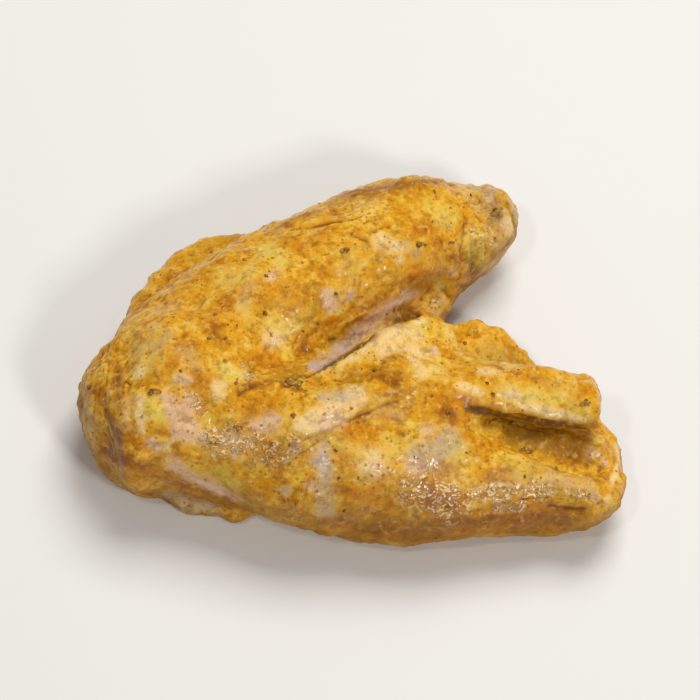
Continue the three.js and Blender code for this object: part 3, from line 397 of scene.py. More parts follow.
# The mean over each point's neighbours, so often that it reaches the size of the forms that matter.
def spread(edges, values, rounds):
    count = np.bincount(edges.ravel(), minlength=len(values)).astype(float)
    count[count == 0.0] = 1.0
    for _ in range(rounds):
        total = np.bincount(edges[:, 0], values[edges[:, 1]], len(values))
        total += np.bincount(edges[:, 1], values[edges[:, 0]], len(values))
        values = 0.5 * values + 0.5 * total / count
    return values


# Plus in grooves and minus on ridges, about -1 to 1.
def hollowness(edges, places, normals, rounds):
    soft = np.column_stack([spread(edges, places[:, k], rounds) for k in range(3)])
    depth = np.einsum("ij,ij->i", soft - places, normals)
    return np.clip(depth / np.percentile(np.abs(depth), 95), -1.5, 1.5)


# The form of a gentler wing round the named lines, where the solid's folds run too sharp.
def easeForm(mesh, edges):
    for name, (reach, rounds) in skin["eased"].items():
        places = placesOf(mesh)
        across = besideLine(places, normalsOf(mesh), skinLines[name])[0]
        soft = np.column_stack([spread(edges, places[:, k], rounds) for k in range(3)])
        places += smoothShare(reach - np.abs(across), 0.0, 0.7 * reach)[:, None] * (soft - places)
        setPlaces(mesh, places)


# Small corrections of the form: a raised floor where the solid cuts too deep, and a slimmer wrist.
def correctForm(mesh):
    for name, (rise, reach) in skin["filled"].items():
        places = placesOf(mesh)
        normals = normalsOf(mesh)
        across = besideLine(places, normals, skinLines[name])[0]
        places[:, 2] += rise * np.exp(-(across / reach) ** 2) * smoothShare(normals[:, 2], 0.0, 0.5)
        setPlaces(mesh, places)
    places = placesOf(mesh)
    for place, shift, reach in skin["shifted"]:
        near = np.exp(-(np.linalg.norm(places - np.array(place), axis=1) / reach) ** 2)
        places += near[:, None] * np.array(shift)
    setPlaces(mesh, places)


# Noise drawn out along each limb, and across round the elbow.
def streaks(places, size, stretch):
    offset = places[:, :2] - np.array(skin["elbow"])
    distance = np.linalg.norm(offset, axis=1)
    turn = np.degrees(np.arctan2(offset[:, 1], offset[:, 0]))
    flat, drumette, _ = skin["runs"]
    reach, softness = skin["elbowReach"]
    onFlat = smoothShare(turn - 0.5 * (flat + drumette), -8.0, 8.0)
    onElbow = smoothShare(reach - distance, 0.0, softness)
    shares = [onFlat * (1.0 - onElbow), (1.0 - onFlat) * (1.0 - onElbow), onElbow]
    total = np.zeros(len(places))
    for share, angle in zip(shares, skin["runs"]):
        along = np.array((math.cos(math.radians(angle)), math.sin(math.radians(angle)), 0.0))
        drawn = places - np.outer(places @ along, along) * (1.0 - 1.0 / stretch)
        total += share * lumps(shaken(drawn, skin["waves"]["streak"]), size, 12.0 + angle)
    return total


def addRelief(mesh, cover):
    places = placesOf(mesh)
    normals = normalsOf(mesh)
    wavy = shaken(places, skin["waves"]["wrinkle"])
    unsteady = shaken(places, skin["waves"]["line"])
    height = np.zeros(len(places))
    for size, tall in skin["unevenness"]:
        height += tall * lumps(places, size, 3.1 * size)
    for name, (spacing, depth, reach) in skin["wrinkles"].items():
        across = besideLine(wavy, normals, skinLines[name])[0]
        broken = 0.5 + 0.5 * lumps(places, 3.5, 7.7 * spacing)
        furrow = (1.0 - np.abs(np.sin(math.pi * across / spacing + 1.2 * broken))) ** 2.0
        height -= depth * furrow * smoothShare(reach - np.abs(across), 0.0, reach) * (0.4 + 1.2 * broken)
    for name, (depth, half) in skin["grooves"].items():
        across, run = besideLine(unsteady, normals, skinLines[name])
        height -= depth * np.exp(-(across / half) ** 2) * ends(run, 0.3)
    for name, (rise, fade) in skin["steps"].items():
        across, run = besideLine(unsteady, normals, skinLines[name])
        across *= math.copysign(1.0, rise)
        raised = smoothShare(across, -0.3, 0.4) * np.exp(-np.clip(across, 0.0, None) / fade)
        height += abs(rise) * raised * ends(run, 0.25)
    for place, reach, size, tall in skin["ragged"]:
        near = np.exp(-(np.linalg.norm(places - np.array(place), axis=1) / reach) ** 2)
        height += tall * near * lumps(places, size, 21.0)
    size, stretch, tall = skin["drawn"]
    height += tall * streaks(places, size, stretch)
    size, tall = skin["paste"]
    height += tall * smoothShare(lumps(places, size, 40.0), 0.05, 0.45)
    size, tall = skin["beads"]
    height += tall * (0.12 + 0.88 * cover["wet"]) * lumps(places, size, 55.0)
    spacing, tall = skin["follicles"]
    wavy = shaken(places, skin["waves"]["follicle"])
    middle = np.array([noise.voronoi(p)[0][0] for p in map(Vector, wavy / spacing)])
    height += tall * smoothShare(0.42 - middle, 0.0, 0.3) * (0.6 + 1.2 * smoothShare(normals[:, 1], 0.0, 0.5))
    # The skin that it rests on is pressed flat, with shallow hollows only.
    low, high, hollows = skin["pressed"]
    free = smoothShare(places[:, 2], low, high)
    places += normals * (height * np.where(height < 0.0, hollows + (1.0 - hollows) * free, free))[:, None]
    places[:, 2] = np.clip(places[:, 2], 0.0, None)
    setPlaces(mesh, places)


# How far each kind of brush stroke covers each point: from 0 to 1.1 at a stroke's middle.
def paintMarks(mesh):
    places = placesOf(mesh)
    normals = normalsOf(mesh)
    drift = shaken(places, skin["waves"]["stroke"]) - places
    cover = {kind: np.zeros(len(places)) for kind in marks}
    for kind, (radius, *line) in [(kind, stroke) for kind in marks for stroke in marks[kind]]:
        shaky = places + min(1.0, 0.6 * radius) * drift     # a thin stroke runs truer than a broad one
        if len(line) == 1:
            distance = np.linalg.norm(shaky - np.array(line[0]), axis=1)
        else:
            distance = np.abs(besideLine(shaky, normals, line)[0])
        cover[kind] = np.maximum(cover[kind], 1.1 * np.exp(-(distance / (1.25 * radius)) ** 2))
    return cover


def giveAttribute(mesh, name, values):
    mesh.attributes.new(name, "FLOAT", "POINT").data.foreach_set("value", values.astype(np.float32))


# Colours as sRGB hex, made linear for the shader.
def linear(colour):
    channels = [int(colour[k:k + 2], 16) / 255.0 for k in (1, 3, 5)]
    return [c / 12.92 if c <= 0.04045 else ((c + 0.055) / 1.055) ** 2.4 for c in channels] + [1.0]


# An input is a socket, a node, which gives its first output in use, the hex of a colour, or a plain value.
def addNode(tree, kind, settings, inputs):
    node = tree.nodes.new("ShaderNode" + kind)
    for name, value in settings.items():
        setattr(node, name, value)
    for name, value in inputs.items():
        if isinstance(value, bpy.types.Node):
            value = next(output for output in value.outputs if output.enabled)
        if isinstance(value, bpy.types.NodeSocket):
            tree.links.new(value, node.inputs[name])
        else:
            node.inputs[name].default_value = linear(value) if isinstance(value, str) else value
    return node


def newMaterial(name):
    material = bpy.data.materials.new(name)
    material.use_nodes = True
    material.node_tree.nodes.clear()
    return material, material.node_tree


# Settings that many nodes share.
product = {"operation": "MULTIPLY", "use_clamp": True}
blend = {"data_type": "RGBA"}
soft = {"interpolation_type": "SMOOTHSTEP"}

# Raw chicken skin rubbed with an oily turmeric and paprika marinade: bare skin where the film is rubbed off,
# lemon where thin, then gold, orange and brown where it gathers, dusted with spice, soft inside, wet on top.
# Brown is also painted shade on the steep sides and in grooves and creases, and the wet beds carry pale
# painted glints.
skinLook = {
    # share of the film's full thickness, colour
    "film": [(0.14, "#e0bb68"), (0.34, "#ddad3c"), (0.52, "#d69b1b"), (0.68, "#c9870f"), (0.84, "#b06d0a"),
             (1.0, "#7d4a08")],
    "normal": 0.53,                 # the film's usual thickness
    "bareBelow": (-0.15, 0.25),     # thickness where the skin lies bare, and where the film covers it
    "paleSkin": "#e6c88e", "flushedSkin": "#dcae80",
    # kind of stroke: change of the film's thickness, how far the skin shows through it, the skin's colour;
    # some cream and grey strokes paint highlights and wet sheen on it
    "bareKinds": {"straw": (-0.14, 0.5, "#dcb854"), "lemon": (-0.2, 0.55, "#dcc044"),
                  "tan": (-0.14, 0.7, "#c09860"), "cream": (-0.28, 0.8, "#e8c890"),
                  "grey": (-0.22, 0.82, "#b29e86"), "pink": (-0.25, 0.85, "#dab094"),
                  "lavender": (-0.3, 0.95, "#bca6a0")},
    # kind of stroke: change of the film's thickness and its colour; the dark strokes are painted shadow, and
    # brown, ochre and olive strokes are painted shade in places
    "filmKinds": {"ochre": (0.08, "#ab7d18"), "orange": (0.12, "#c67a0c"), "brown": (0.22, "#92580c"),
                  "purple": (0.0, "#9c6c48"), "olive": (0.14, "#755a10"), "dark": (0.4, "#4c330a")},
    "filmShown": 0.65,              # how far such a stroke hides the film below
    # how far each other layer covers at most, and its colour
    # The pool, crease and groove colours are painted shade: on the steep sides, where the film also gathers,
    # along the creases and in the grooves. The beads' pale colours are painted glints on raised pores.
    "poolShade": (0.75, "#7e5006"), "crease": (0.8, "#5f3c0c"), "groove": (0.6, "#74440a"),
    "dapple": (0.4, "#7e4c10"), "fleck": (0.36, "#f0c864"), "bed": (0.35, "#a8642c"),
    "beads": (0.85, "#f4c886", "#f8e0ba"), "dot": (0.8, "#a0600c"), "dust": (0.85, "#8a480e"),
    "darkDust": (0.6, "#46280e"), "grain": (0.14, "#74440a"),
    # name of the noise: size in mm, its own place in m and detail, the values between which it counts, and
    # for some what they become, or else it rises softly from 0 to 1
    "noises": {"broad": (8.0, 0.08, 2.0), "middling": (3.2, 0.032, 2.0), "small": (1.3, 0.013, 2.0),
               "fine": (0.65, 0.0065, 2.0), "tear": (1.4, 0.031, 3.0, 0.3, 0.7, 0.35, 1.2),
               "speckle": (1.8, 0.17, 4.0, 0.3, 0.65, 0.35, 1.15),
               "rough": (2.2, 0.09, 2.0, 0.35, 0.65, 0.36, 0.55),
               "damp": (4.0, 0.11, 2.0, 0.4, 0.62, 0.12, 0.6), "flush": (2.4, 0.05, 2.0, 0.45, 0.7),
               "dapple": (1.5, 0.27, 3.0, 0.5, 0.66), "fleck": (1.2, 0.37, 2.0, 0.52, 0.7),
               "crest": (1.1, 0.31, 0.0), "rubbed": (0.8, 0.21, 2.0, 0.43, 0.53),
               "glintHue": (2.0, 0.23, 2.0, 0.45, 0.6), "dot": (5.0, 0.13, 2.0, 0.35, 0.6),
               "dust": (6.0, 0.09, 2.0, 0.38, 0.6), "grain": (0.35, 0.071, 2.0, 0.3, 0.7)},
    "marbling": {"broad": 0.45, "middling": 0.55, "small": 0.5, "fine": 0.3},   # shares of the full thickness
    # kind of speck: spacing in mm, share without one, then in spacings least and greatest radius, soft edge
    "specks": {"dot": (0.75, 0.35, 0.0, 0.5, -0.05, 0.25), "dust": (1.15, 0.6, -0.05, 0.4, 0.0, 0.2)},
    "blackDust": 0.88,              # share of the dust that isn't black
    "frayed": (0.4, 0.0008),        # size in mm and reach in m of the waves that fray the dust and the beads
    "beadSize": 1.1, "reliefSize": 0.8,     # mm
}


def marinatedSkin():
    look = skinLook
    material, tree = newMaterial("marinated_skin")
    at = addNode(tree, "TexCoord", {}, {}).outputs["Object"]
    mark = {}       # what the mesh says of each point
    for name in ["film", "pooledShade", "groove", *marks]:
        mark[name] = addNode(tree, "Attribute", {"attribute_name": name}, {}).outputs["Fac"]
    pattern = {}
    for name, (size, place, detail, *limits) in look["noises"].items():
        moved = addNode(tree, "Mapping", {}, {"Vector": at, "Location": (place, 0.7 * place, 0.3 * place)})
        pattern[name] = addNode(tree, "TexNoise", {}, {
            "Vector": moved, "Scale": 1000.0 / size, "Detail": detail, "Roughness": 0.6})
        if limits:
            limits = dict(zip(["From Min", "From Max", "To Min", "To Max"], limits))
            pattern[name] = addNode(tree, "MapRange", {} if "To Min" in limits else soft,
                                    {"Value": pattern[name], **limits})

    # How thick the film lies: the brushed and streaked part from the mesh, marbled by noise of several sizes.
    thickness = mark["film"]
    for name, amount in look["marbling"].items():
        thickness = addNode(tree, "Math", {"operation": "MULTIPLY_ADD"},
                            {0: pattern[name], 1: amount, 2: thickness})
    middle = look["normal"] - 0.5 * sum(look["marbling"].values())
    thickness = addNode(tree, "Math", {"operation": "ADD"}, {0: thickness, 1: middle})
    colour = addNode(tree, "ValToRGB", {}, {0: thickness})
    ramp = colour.color_ramp
    for place, _ in look["film"][1:-1]:
        ramp.elements.new(place)
    for element, (place, hue) in zip(ramp.elements, look["film"]):
        element.position = place
        element.color = linear(hue)

    # The film dries in tiny dark dots round the pores. Ground spice lies in grains of mixed sizes.
    size, reach = look["frayed"]
    waves = addNode(tree, "TexNoise", {}, {"Vector": at, "Scale": 1000.0 / size, "Detail": 1.0})
    frayed = addNode(tree, "VectorMath", {"operation": "MULTIPLY_ADD"},
                     {0: waves.outputs["Color"], 1: (reach, reach, reach), 2: at})
    specks = {}
    for kind, where in [("dot", at), ("dust", frayed)]:
        spacing, without, least, most, low, high = look["specks"][kind]
        cells = addNode(tree, "TexVoronoi", {}, {"Vector": where, "Scale": 1000.0 / spacing})
        chance = addNode(tree, "SeparateColor", {}, {0: cells.outputs["Color"]})
        room = addNode(tree, "MapRange", {},
                       {"Value": chance, "From Min": without, "To Min": least, "To Max": most})
        inside = addNode(tree, "Math", {"operation": "SUBTRACT"}, {0: room, 1: cells})
        edge = addNode(tree, "MapRange", soft, {"Value": inside, "From Min": low, "From Max": high})
        specks[kind] = addNode(tree, "Math", product, {0: edge, 1: pattern[kind]})
    black = addNode(tree, "Math", {"operation": "GREATER_THAN"}, {0: chance.outputs[1], 1: look["blackDust"]})

    # In the wet beds the pores stand up as short beads over darker film; their pale tops are painted glints.
    pores = addNode(tree, "TexVoronoi", {"feature": "SMOOTH_F1"},
                    {"Vector": frayed, "Scale": 1000.0 / look["beadSize"], "Smoothness": 0.3})
    offset = addNode(tree, "Math", {"operation": "SUBTRACT"}, {0: pattern["crest"], 1: 0.5})
    crest = addNode(tree, "Math", {"operation": "ABSOLUTE"}, {0: offset})
    knobs = addNode(tree, "MapRange", soft, {"Value": pores, "From Min": 0.5, "From Max": 0.2})
    ridges = addNode(tree, "MapRange", soft, {"Value": crest, "From Min": 0.13, "From Max": 0.05})
    raised = addNode(tree, "Math", {"operation": "MAXIMUM"}, {0: knobs, 1: ridges})
    broken = addNode(tree, "Math", product, {0: raised, 1: pattern["rubbed"]})
    inBed = addNode(tree, "MapRange", soft, {"Value": mark["wet"], "From Min": 0.1, "From Max": 0.7})
    beads = addNode(tree, "Math", product, {0: broken, 1: inBed})
    glintsShown, *glintHues = look["beads"]
    glintHue = addNode(tree, "Mix", blend, {0: pattern["glintHue"], 6: glintHues[0], 7: glintHues[1]})

    # Layers over the film, from below: the factors of what they cover, then their colours.
    # First the pool layer: painted shade on the steep sides, where the film also gathers.
    layers = [(mark["pooledShade"], *look["poolShade"])]
    for kind, (_, hue) in look["filmKinds"].items():
        layers.append((mark[kind], pattern["tear"], look["filmShown"], hue))
    bare, covered = look["bareBelow"]
    bareness = addNode(tree, "MapRange", soft, {"Value": thickness, "From Min": covered, "From Max": bare})
    bareHue = addNode(tree, "Mix", blend, {0: pattern["flush"], 6: look["paleSkin"], 7: look["flushedSkin"]})
    layers.append((bareness, bareHue))
    for kind, (_, through, hue) in look["bareKinds"].items():
        brushed = addNode(tree, "MapRange", soft, {"Value": mark[kind], "From Min": 0.03})
        layers.append((brushed, through, pattern["speckle"], hue))
    groove = addNode(tree, "MapRange", soft, {"Value": mark["groove"], "From Min": 0.2, "From Max": 1.4})
    drier = addNode(tree, "MapRange", {}, {"Value": mark["pooledShade"], "To Min": 1.0, "To Max": 0.0})
    # Then painted shade along the creases and in the grooves, dapples, pale flecks that fade in the painted
    # shade of the steep sides, the wet beds and their beads with painted glints, and specks.
    layers += [
        (mark["crease"], *look["crease"]), (groove, *look["groove"]), (pattern["dapple"], *look["dapple"]),
        (pattern["fleck"], drier, *look["fleck"]), (mark["wet"], *look["bed"]), (beads, glintsShown, glintHue),
        (specks["dot"], *look["dot"]), (specks["dust"], *look["dust"]),
        (specks["dust"], black, *look["darkDust"]), (pattern["grain"], *look["grain"])]
    for cover, *factors, hue in layers:
        for factor in factors:
            cover = addNode(tree, "Math", product, {0: cover, 1: factor})
        colour = addNode(tree, "Mix", blend, {0: cover, 6: colour, 7: hue})

    bump = addNode(tree, "TexNoise", {}, {"Vector": at, "Scale": 1000.0 / look["reliefSize"], "Detail": 2.0,
                                          "Roughness": 0.5})
    relief = addNode(tree, "Bump", {}, {"Height": bump, "Strength": 0.6, "Distance": 0.0002})
    grainy = addNode(tree, "Bump", {}, {"Height": specks["dust"], "Strength": 0.25, "Distance": 0.00006,
                                        "Normal": relief})
    beaded = addNode(tree, "Bump", {}, {"Height": beads, "Strength": 1.0, "Distance": 0.0003,
                                        "Normal": grainy})
    # The film that pools on steep sides is duller, and the beds are the wettest.
    rough = addNode(tree, "Math", {"operation": "MULTIPLY_ADD"},
                    {0: mark["pooledShade"], 1: 0.3, 2: pattern["rough"]})
    damp = addNode(tree, "Math", product, {0: pattern["damp"], 1: drier})
    wet = addNode(tree, "Math", {"operation": "MAXIMUM"}, {0: damp, 1: mark["wet"]})
    shader = addNode(tree, "BsdfPrincipled", {}, {
        "Base Color": colour, "Roughness": rough, "IOR": 1.42, "Specular IOR Level": 0.3,
        "Subsurface Weight": 0.25, "Subsurface Radius": (1.0, 0.42, 0.18), "Subsurface Scale": 0.0015,
        "Coat Weight": wet, "Coat Roughness": 0.08, "Coat IOR": 1.4, "Normal": beaded, "Coat Normal": beaded})
    addNode(tree, "OutputMaterial", {}, {0: shader})
    return material


# Where the film runs down and pools, and where painted shade darkens the steep sides: in patches on the steep
# sides, and less on what faces the table.
def pooledShadeOn(mesh, edges):
    facing = spread(edges, normalsOf(mesh)[:, 2], 12)
    pooledShade = smoothShare(0.6 - facing, 0.0, 0.7) * (0.6 + 0.6 * lumps(placesOf(mesh), 5.0, 70.0))
    return pooledShade * (1.0 - 0.65 * smoothShare(-facing, 0.2, 0.9))


# The film's thickness over its normal one, from the brush strokes, the skin's folds, its steep sides, where
# the thicker film is also painted shade, and its streaks. The sides that the strokes don't reach get patches
# of their own.
def filmOf(mesh, cover, groove, pooledShade):
    places = placesOf(mesh)
    change = skin["filmChange"]
    film = change["groove"] * groove + change["pooledShade"] * pooledShade
    wavy = shaken(places, skin["waves"]["patch"])
    rubbed = smoothShare(lumps(wavy, 6.5, 33.0), 0.1, 0.5)
    gathered = smoothShare(lumps(wavy, 5.0, 44.0), 0.15, 0.5)
    away = smoothShare(0.3 - normalsOf(mesh) @ np.array(skin["painted"]), 0.0, 0.4)
    film += away * (change["gathered"] * gathered + change["rubbed"] * rubbed)
    for size, stretch in skin["streaks"]:
        film += change["streaks"] * streaks(places, size, stretch)
    for kind, look in {**skinLook["bareKinds"], **skinLook["filmKinds"]}.items():
        film += look[0] * cover[kind]
    return film + change["wet"] * cover["wet"]


def makeSkin():
    mesh = evenCopy(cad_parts["wing"], skin["voxel"], skin["smoothing"])
    mesh.name = "wing_skin"
    print("even mesh", len(mesh.polygons), "faces")
    edges = np.empty(len(mesh.edges) * 2, np.int32)
    mesh.edges.foreach_get("vertices", edges)
    edges = edges.reshape(-1, 2)
    easeForm(mesh, edges)
    correctForm(mesh)
    cover = paintMarks(mesh)
    addRelief(mesh, cover)
    groove = hollowness(edges, placesOf(mesh), normalsOf(mesh), 4)
    pooledShade = pooledShadeOn(mesh, edges)
    bare = np.max([cover[kind] for kind in skinLook["bareKinds"]], axis=0)
    # The grooves' painted shade, weaker where bare skin shows.
    giveAttribute(mesh, "groove", groove * (1.0 - 0.5 * np.clip(bare, 0.0, 1.0)))
    giveAttribute(mesh, "pooledShade", pooledShade)
    giveAttribute(mesh, "film", filmOf(mesh, cover, groove, pooledShade))
    for kind, values in cover.items():
        giveAttribute(mesh, kind, values)
    mesh.materials.clear()
    mesh.materials.append(marinatedSkin())
    mesh.shade_smooth()
    piece = bpy.data.objects.new("wing_skin", mesh)
    bpy.context.scene.collection.objects.link(piece)
    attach(piece, "root")
    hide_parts("wing")
    return piece, bare


wingSkin, skinBare = makeSkin()
print("skin made", len(wingSkin.data.polygons), "faces")

# Dried herb flakes: torn bits of leaf pressed on the skin, curled at the edges.
herbs = {
    # x, y and length, mm
    "places": [(-10.7, -13.0, 4.4), (26.4, 25.3, 2.8), (12.5, 16.4, 2.2), (-1.2, 12.9, 2.4),
               (-33.9, -14.3, 2.2), (-20.3, -20.6, 1.5), (28.7, -20.8, 2.4), (38.4, -15.1, 2.2)],
    "slender": 0.45, "lift": 0.05, "curl": 0.16, "thick": 0.1,      # share, then mm
    "torn": (4.0, 3, 0.72),         # a flake longer than this, mm, lies in so many bits of this share of it
    "leaf": "#9c7428", "vein": "#c49a48", "dry": "#6e4614",
    "blotch": 0.9, "veins": 0.5,    # mm
}


# Dried parsley darkened by the oil: dull brown leaf with paler veins, matt with a faint shine.
def driedHerb():
    material, tree = newMaterial("dried_herb")
    at = addNode(tree, "TexCoord", {}, {}).outputs["Object"]
    blotches = addNode(tree, "TexNoise", {}, {"Vector": at, "Scale": 1000.0 / herbs["blotch"], "Detail": 3.0})
    veins = addNode(tree, "TexNoise", {}, {"Vector": at, "Scale": 1000.0 / herbs["veins"], "Detail": 1.0})
    browned = addNode(tree, "MapRange", {}, {"Value": blotches, "From Min": 0.4, "From Max": 0.6})
    pale = addNode(tree, "MapRange", {}, {"Value": veins, "From Min": 0.55, "From Max": 0.7})
    dull = addNode(tree, "Mix", blend, {0: browned, 6: herbs["leaf"], 7: herbs["dry"]})
    leaf = addNode(tree, "Mix", blend, {0: pale, 6: dull, 7: herbs["vein"]})
    rough = addNode(tree, "MapRange", {}, {"Value": blotches, "To Min": 0.35, "To Max": 0.7})
    bump = addNode(tree, "Bump", {}, {"Height": veins, "Strength": 0.5, "Distance": 0.00008})
    shader = addNode(tree, "BsdfPrincipled", {}, {
        "Base Color": leaf, "Roughness": rough, "IOR": 1.45, "Coat Weight": 0.25, "Coat Roughness": 0.2,
        "Normal": bump})
    addNode(tree, "OutputMaterial", {}, {0: shader})
    return material


def finishPiece(name, made, material):
    mesh = bpy.data.meshes.new(name)
    made.to_mesh(mesh)
    made.free()
    mesh.materials.append(material)
    mesh.shade_smooth()
    piece = bpy.data.objects.new(name, mesh)
    bpy.context.scene.collection.objects.link(piece)
    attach(piece, "root")
    return piece


def makeHerbs(surface):
    chance = random.Random(11)
    made = bmesh.new()
    longest, bits, shorter = herbs["torn"]
    for x, y, length in herbs["places"]:
        torn = length > longest
        for part in range(bits if torn else 1):
            size = length * chance.uniform(0.75, 1.0) * (shorter if torn else 1.0)
            turn = chance.uniform(-0.5, 0.7) + 1.3 * part
            slip = Vector((chance.uniform(-0.25, 0.25), chance.uniform(-0.12, 0.12))) * length * (part > 0)
            leaf = bmesh.ops.create_grid(made, x_segments=8, y_segments=4, size=0.5)["verts"]
            for vert in leaf:
                along, across = vert.co.x, vert.co.y
                wide = herbs["slender"] * (1.0 - (2.0 * along) ** 2 * 0.96) ** 0.7
                wide *= 1.0 + 0.9 * noise.noise(Vector((5.0 * along, 2.0 * across, x + part)))
                flat = Vector((along, across * wide)) * size
                flat.rotate(Matrix.Rotation(turn, 2))
                above = Vector((x + slip.x + flat.x, y + slip.y + flat.y, 60.0)) * mm
                spot, normal = surface.ray_cast(above, Vector((0.0, 0.0, -1.0)))[:2]
                curled = herbs["curl"] * (2.0 * abs(across)) ** 2 * chance.uniform(0.3, 1.0)
                rise = herbs["lift"] + curled + herbs["thick"] * part
                vert.co = spot + normal * rise * mm
    bmesh.ops.solidify(made, geom=made.faces[:], thickness=herbs["thick"] * mm)
    bmesh.ops.recalc_face_normals(made, faces=made.faces[:])
    return finishPiece("herb_flakes", made, driedHerb())


# Coarse ground spice on the skin: pepper, paprika and herb crumbs of true size, each with a few faces.
spice = {
    "count": 240, "radius": (0.1, 0.28), "flatness": 0.55, "sunk": 0.45,    # mm, then shares of the radius
    # x, y, z and radius of the coarse ones, mm
    "placed": [(-24.9, -5.1, 25, 0.45), (-22, -4.5, 24.3, 0.4), (-23.6, 0.3, 23.4, 0.35),
        (-15.1, 0.9, 22.8, 0.5), (-1.2, 12.8, 23.8, 0.45), (18.1, 18.1, 17.5, 0.45), (12, 16.2, 19.8, 0.6),
        (-20.3, -20.8, 22.4, 0.35), (-44.7, -9.2, 16.2, 0.4), (-38.2, -11.5, 21.5, 0.45),
        (-34.8, -14.5, 23.4, 0.5), (-41.9, -15, 18.6, 0.35), (-11.4, -19.5, 24.8, 0.45),
        (-10.8, -31, 15.5, 0.45), (-2.6, -31.8, 14.2, 0.4), (-3.6, -28.2, 19, 0.3), (-4.1, -24.2, 21.2, 0.3),
        (7.9, 7.6, 12.7, 0.4), (28.7, -21.2, 14, 0.5), (33.7, -23.7, 13.3, 0.5), (38.3, -15.3, 20.5, 0.4),
        (22.8, -14, 21.4, 0.4), (14.8, -17.5, 21.7, 0.45), (-14.6, 7.9, 23.9, 0.4), (-2.8, 6.1, 21.1, 0.4),
        (-18.3, 12, 21.8, 0.4), (15.3, 26.6, 20.4, 0.4), (-6, 1.3, 19.6, 0.45), (14.6, -31.5, 14.8, 0.4),
        (20.2, -31.4, 13.4, 0.35), (27.9, -26.4, 16.1, 0.35), (19.9, 1.7, 11.5, 0.4),
        (2.9, -10.4, 23.2, 0.35), (-29.7, -11.3, 25.1, 0.35), (-20.3, -13.2, 23.9, 0.4),
        (-14.7, -23.7, 22.4, 0.4), (21.9, -12.2, 22, 0.35), (7.1, -21.7, 21.4, 0.35),
        (26.4, -16, 13.1, 0.45)],
    "pepper": "#50300f", "paprika": "#8a4410", "crumb": "#785a22",
    "oilSpots": 0.3,                # mm
}


# Ground pepper, paprika and dried crumbs, soaked by the oil: dull dark grains, half covered by yellow film.
def groundSpice():
    material, tree = newMaterial("ground_spice")
    at = addNode(tree, "TexCoord", {}, {}).outputs["Object"]
    kind = addNode(tree, "Attribute", {"attribute_name": "shade"}, {}).outputs["Fac"]
    isPaprika = addNode(tree, "MapRange", {}, {"Value": kind, "From Min": 0.3, "From Max": 0.36})
    isCrumb = addNode(tree, "MapRange", {}, {"Value": kind, "From Min": 0.8, "From Max": 0.84})
    red = addNode(tree, "Mix", blend, {0: isPaprika, 6: spice["pepper"], 7: spice["paprika"]})
    dry = addNode(tree, "Mix", blend, {0: isCrumb, 6: red, 7: spice["crumb"]})
    spots = addNode(tree, "TexNoise", {}, {"Vector": at, "Scale": 1000.0 / spice["oilSpots"], "Detail": 2.0})
    oiled = addNode(tree, "MapRange", {}, {"Value": spots, "From Min": 0.35, "From Max": 0.7, "To Max": 0.7})
    colour = addNode(tree, "Mix", blend, {0: oiled, 6: dry, 7: skinLook["film"][3][1]})
    rough = addNode(tree, "MapRange", {}, {"Value": spots, "To Min": 0.3, "To Max": 0.6})
    shader = addNode(tree, "BsdfPrincipled", {}, {
        "Base Color": colour, "Roughness": rough, "IOR": 1.45, "Coat Weight": 0.3, "Coat Roughness": 0.15})
    addNode(tree, "OutputMaterial", {}, {0: shader})
    return material


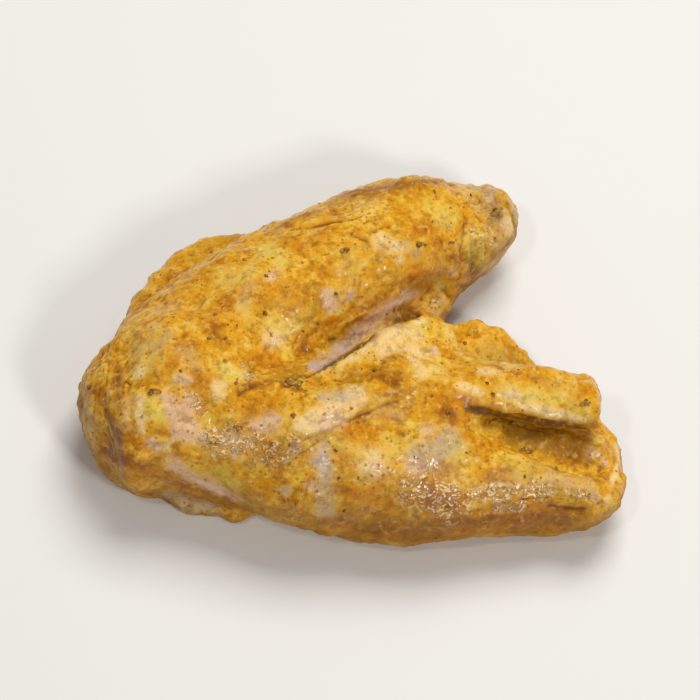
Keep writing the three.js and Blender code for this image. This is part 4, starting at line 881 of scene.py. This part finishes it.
def makeSpice(skinMesh, bare):
    chance = random.Random(23)
    places = placesOf(skinMesh)
    normals = normalsOf(skinMesh)
    crowded = lumps(places, 7.0, 90.0)
    made = bmesh.new()
    shade = made.verts.layers.float.new("shade")
    grains = []
    for x, y, z, radius in spice["placed"]:
        nearest = int(np.argmin(np.linalg.norm(places - np.array((x, y, z)), axis=1)))
        grains.append((nearest, radius))
    low, high = spice["radius"]
    while len(grains) < spice["count"]:
        at = chance.randrange(len(places))
        if places[at, 2] < 0.6 or chance.random() > (0.35 + crowded[at]) * (1.0 - 0.7 * bare[at]):
            continue
        grains.append((at, low + (high - low) * chance.random() ** 2.2))
    for at, radius in grains:
        normal = Vector(normals[at])
        spot = (Vector(places[at]) + normal * radius * (spice["flatness"] - spice["sunk"])) * mm
        stretch = chance.uniform(0.7, 1.4)
        form = Matrix.Diagonal((stretch, 1.0 / stretch, spice["flatness"])).to_4x4() * radius * mm
        form[3][3] = 1.0
        standing = normal.to_track_quat("Z", "Y").to_matrix().to_4x4()
        turned = standing @ Matrix.Rotation(chance.uniform(0.0, 6.3), 4, "Z")
        grain = bmesh.ops.create_icosphere(made, subdivisions=1, radius=1.0,
                                           matrix=Matrix.Translation(spot) @ turned @ form)
        kind = chance.random()
        for vert in grain["verts"]:
            vert.co += Vector([chance.uniform(-0.22, 0.22) * radius * mm for _ in range(3)])
            vert[shade] = kind
    return finishPiece("ground_spice", made, groundSpice())


makeHerbs(BVHTree.FromObject(wingSkin, bpy.context.evaluated_depsgraph_get()))
makeSpice(wingSkin.data, skinBare)
print("herbs and spice laid")

# A plain pale table, a broad soft light over the wing's far side and a weaker one from the front.
studio = {
    "floor": "#dedbd6", "floorSize": 3.0,       # m
    "world": 0.22,
    # name, place and size in m, watts, and whether it shines back off the wet film
    "lights": [("key", (0.15, 0.4, 0.75), 0.45, 6.4, False), ("front", (0.35, -0.5, 0.55), 0.13, 2.3, True),
               ("spark", (-0.3, -0.25, 0.8), 0.07, 0.8, True)],
    "lit": (0.0, 0.0, 0.01),                    # m, where the lights point
}


# A matt painted table: even and pale, without shine.
def paintedTable():
    material, tree = newMaterial("studio_floor")
    shader = addNode(tree, "BsdfPrincipled", {}, {"Base Color": studio["floor"], "Roughness": 0.6})
    addNode(tree, "OutputMaterial", {}, {0: shader})
    return material


def setStudio():
    scene = bpy.context.scene
    grid = bmesh.new()
    bmesh.ops.create_grid(grid, x_segments=1, y_segments=1, size=studio["floorSize"] / 2)
    mesh = bpy.data.meshes.new("floor")
    grid.to_mesh(mesh)
    grid.free()
    mesh.materials.append(paintedTable())
    floor = bpy.data.objects.new("floor", mesh)
    scene.collection.objects.link(floor)
    for name, place, size, watts, shines in studio["lights"]:
        lamp = bpy.data.objects.new(name, bpy.data.lights.new(name, "AREA"))
        lamp.data.shape = "SQUARE"
        lamp.data.size = size
        lamp.data.energy = watts
        lamp.visible_glossy = shines
        lamp.location = place
        lamp.rotation_euler = (Vector(studio["lit"]) - Vector(place)).to_track_quat("-Z", "Y").to_euler()
        scene.collection.objects.link(lamp)
    world = bpy.data.worlds.new("studio")
    world.use_nodes = True
    world.node_tree.nodes["Background"].inputs["Strength"].default_value = studio["world"]
    world.node_tree.nodes["Background"].inputs["Color"].default_value = (1.0, 1.0, 1.0, 1.0)
    scene.world = world
    scene.view_settings.view_transform = "Standard"


setStudio()
print("studio set")
